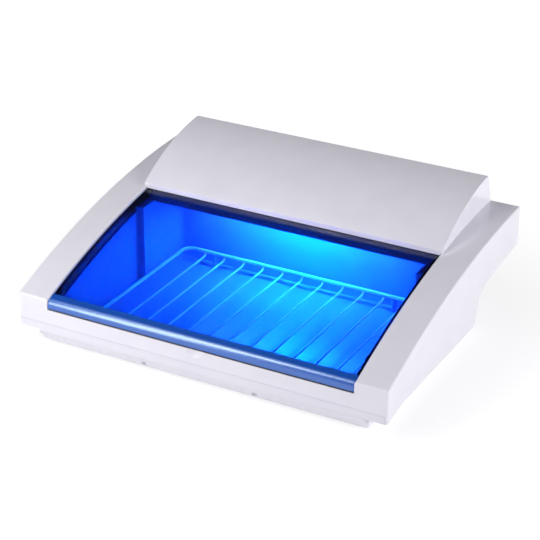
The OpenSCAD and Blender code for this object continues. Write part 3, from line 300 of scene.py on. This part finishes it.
# %% Give each piece its finish
finishes = {
    glossy_abs: ["upper_shell", "hood", "rear_panel"],
    base_abs: ["base_pan"],
    liner_abs: ["chamber_liner"],
    ivory_nylon: ["lamp_rotors", "terminal_block", "starter_socket"],
    white_nylon: ["lamp_holder_left", "lamp_holder_right", "starter"],
    black_nylon: ["power_inlet", "switch_bezel", "interlock_sensor", "sensor_wire", "door_studs",
                  "door_track_left", "door_track_right"],
    ivory_pvc: ["lamp_wires"],
    brown_pvc: ["mains_wires"],
    red_abs: ["power_rocker"],
    wire_dip: ["wire_rack"],
    rolled_aluminium: ["reflector", "lamp_caps"],
    zinc_plate: ["base_screws", "rear_panel_screws", "hood_screws", "ballast_screws"],
    nickel_plate: ["inlet_pins", "interlock_magnet"],
    core_steel: ["ballast"],
    cowl_painted_shade_grey: ["lamp_cowl"],
    black_rubber: ["rubber_feet", "door_bumpers"],
    blue_acrylic: ["door_panel"],
    bar_acrylic: ["door_handle"],
    lamp_glass: ["uv_lamp"],
}
for material, names in finishes.items():
    for name in names:
        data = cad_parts[name].data
        data.materials.clear()
        data.materials.append(material)
bare = set(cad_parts) - {n for names in finishes.values() for n in names}
print("pieces without a finish:", sorted(bare))

# %% [markdown]
# A thin strip of black rubber under the bar is painted shade: it is the black line below the bar, where the
# gap above the front lip lies in shade. A bevelled box is enough for it, because only its front shows. It
# is sunk into the bar and stays just clear of the lip, and it rides with the door.

# %% Strip of painted shade under the bar
BAR_GAP = 0.8 * MM
STRIP_GAP = 0.05 * MM
STRIP_DEPTH = 2.4 * MM
STRIP_SUNK = 0.8 * MM
END_INSET, FACE_INSET = 0.5 * MM, 0.03 * MM
STRIP_ROUND = 0.25 * MM
low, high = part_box("door_handle")
lip_top = low[2] - BAR_GAP
strip_low = Vector((low[0] + END_INSET, low[1] + FACE_INSET, lip_top + STRIP_GAP))
strip_high = Vector((high[0] - END_INSET, low[1] + STRIP_DEPTH, low[2] + STRIP_SUNK))
# The black strip built here is painted shade for the shaded gap below the bar.
bm = bmesh.new()
bmesh.ops.create_cube(bm, size=1.0)
bmesh.ops.scale(bm, vec=strip_high - strip_low, verts=bm.verts)
bmesh.ops.translate(bm, vec=(strip_high + strip_low) / 2, verts=bm.verts)
bmesh.ops.bevel(bm, geom=bm.edges[:], offset=STRIP_ROUND, segments=3, affect="EDGES", profile=0.5)
mesh = bpy.data.meshes.new("painted_shade_strip")
bm.to_mesh(mesh)
bm.free()
mesh.shade_smooth()
mesh.materials.append(black_rubber)
painted_shade_strip = bpy.data.objects.new("painted_shade_strip", mesh)
bpy.context.scene.collection.objects.link(painted_shade_strip)
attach(painted_shade_strip, "door")
print("seal", [round(v / MM, 2) for v in strip_high - strip_low], "mm")

# %% [markdown]
# The set is what a product photographer would use: a white table that runs out of the picture. It glows
# for the camera's rays and for what gloss and glass show, so the background is white without more light
# falling on the object. The glow is a little weaker near the cabinet, which leaves room for its shadow.

# %% Table
TABLE_REACH = 6.0
TABLE_DROP = 0.2 * MM
SHADOW_FROM, SHADOW_TO, SHADOW_GLOW = 0.25, 0.7, 0.74
bm = bmesh.new()
bmesh.ops.create_grid(bm, x_segments=1, y_segments=1, size=TABLE_REACH)
mesh = bpy.data.meshes.new("table")
bm.to_mesh(mesh)
bm.free()
table = bpy.data.objects.new("table", mesh)
bpy.context.scene.collection.objects.link(table)
table.location.z = -TABLE_DROP

material, tree = new_material("white_table")
place = add(tree, "ShaderNodeTexCoord").outputs["Object"]
cloth = add(tree, "ShaderNodeTexNoise", {"Vector": place, "Scale": 1 / (4 * MM), "Detail": 2})
shade = add(tree, "ShaderNodeMapRange", {"Value": cloth.outputs["Fac"]} | NOISE)
tint = add(tree, "ShaderNodeMix", {
    "Factor": shade.outputs[0], "A": linear("#F2F2F4"), "B": linear("#F5F5F7")}, data_type="RGBA")
plain = add(tree, "ShaderNodeBsdfDiffuse", {"Color": tint.outputs["Result"]})
half = add(tree, "ShaderNodeBsdfDiffuse", {"Color": linear("#A8A8AA")})
from_cabinet = add(tree, "ShaderNodeVectorMath", {0: place}, operation="LENGTH")
paler = add(tree, "ShaderNodeMapRange", {
    "Value": from_cabinet.outputs["Value"], "From Min": SHADOW_FROM, "From Max": SHADOW_TO,
    "To Min": SHADOW_GLOW, "To Max": 1.0})
white_glow = add(tree, "ShaderNodeEmission", {"Color": (1, 1, 1, 1), "Strength": paler.outputs[0]})
shown = add(tree, "ShaderNodeAddShader", {0: half.outputs[0], 1: white_glow.outputs[0]})
path = add(tree, "ShaderNodeLightPath")
seen = add(tree, "ShaderNodeMath", {
    0: path.outputs["Is Camera Ray"], 1: path.outputs["Is Glossy Ray"]}, operation="MAXIMUM")
seen_or_through = add(tree, "ShaderNodeMath", {
    0: seen.outputs[0], 1: path.outputs["Is Transmission Ray"]}, operation="MAXIMUM")
surface = add(tree, "ShaderNodeMixShader", {
    0: seen_or_through.outputs[0], 1: plain.outputs[0], 2: shown.outputs[0]})
add(tree, "ShaderNodeOutputMaterial", {"Surface": surface.outputs[0]})
table.data.materials.append(material)
print("table", round(max(v.co.x for v in mesh.vertices) * 2, 1), "m wide")

# %% [markdown]
# The room around the set is pale near the horizon and dark overhead. The upright faces get the light of the
# pale part and the tops that of the dark one, so the tops are a step darker, as in the photograph.

# %% Room
world = bpy.data.worlds.new("white_studio")
bpy.context.scene.world = world
world.use_nodes = True
world.node_tree.nodes.clear()
tree = world.node_tree
toward = add(tree, "ShaderNodeSeparateXYZ", {0: add(tree, "ShaderNodeTexCoord").outputs["Generated"]})
near_horizon = add(tree, "ShaderNodeMapRange", {
    "Value": toward.outputs["Z"], "From Min": 0.2, "From Max": 0.5, "To Min": 1.0, "To Max": 0.0},
    interpolation_type="SMOOTHSTEP")
sky = add(tree, "ShaderNodeMix", {
    "Factor": near_horizon.outputs[0], "A": linear("#3A3A40"), "B": linear("#F4F3FA")}, data_type="RGBA")
walls = add(tree, "ShaderNodeBackground", {"Color": sky.outputs["Result"], "Strength": 0.8})
add(tree, "ShaderNodeOutputWorld", {"Surface": walls.outputs[0]})
print("room", world.name, "with", len(tree.nodes), "nodes")

# %% [markdown]
# Three soft lamps light the outside. A tall narrow one at the front left lights the front face and draws
# the long highlight on the bar. A large one far to the right lights the right side, and one above the
# front left lights the tops. Area lamps are used, because their wide shape keeps the shadows soft.

# %% Lamps of the studio
def soft_lamp(name, at, aim, size, watts):
    """A rectangular lamp at a place, turned to face aim."""
    data = bpy.data.lights.new(name, "AREA")
    data.shape = "RECTANGLE"
    data.size, data.size_y = size
    data.energy = watts
    lamp = bpy.data.objects.new(name, data)
    bpy.context.scene.collection.objects.link(lamp)
    lamp.location = at
    lamp.rotation_euler = (Vector(aim) - Vector(at)).to_track_quat("-Z", "Y").to_euler()
    print(name, round((Vector(at) - Vector(aim)).length, 2), "m away,", watts, "W")


soft_lamp("front_left", (-0.49, -0.79, 0.6), (0, 0, 0.05), (0.24, 1.0), 5.8)
soft_lamp("right_side", (1.9, -0.1, 0.8), (0, 0, 0.05), (1.2, 1.0), 21)
soft_lamp("overhead", (-0.7, -0.6, 1.5), (0, 0, 0), (1.0, 1.0), 4.7)
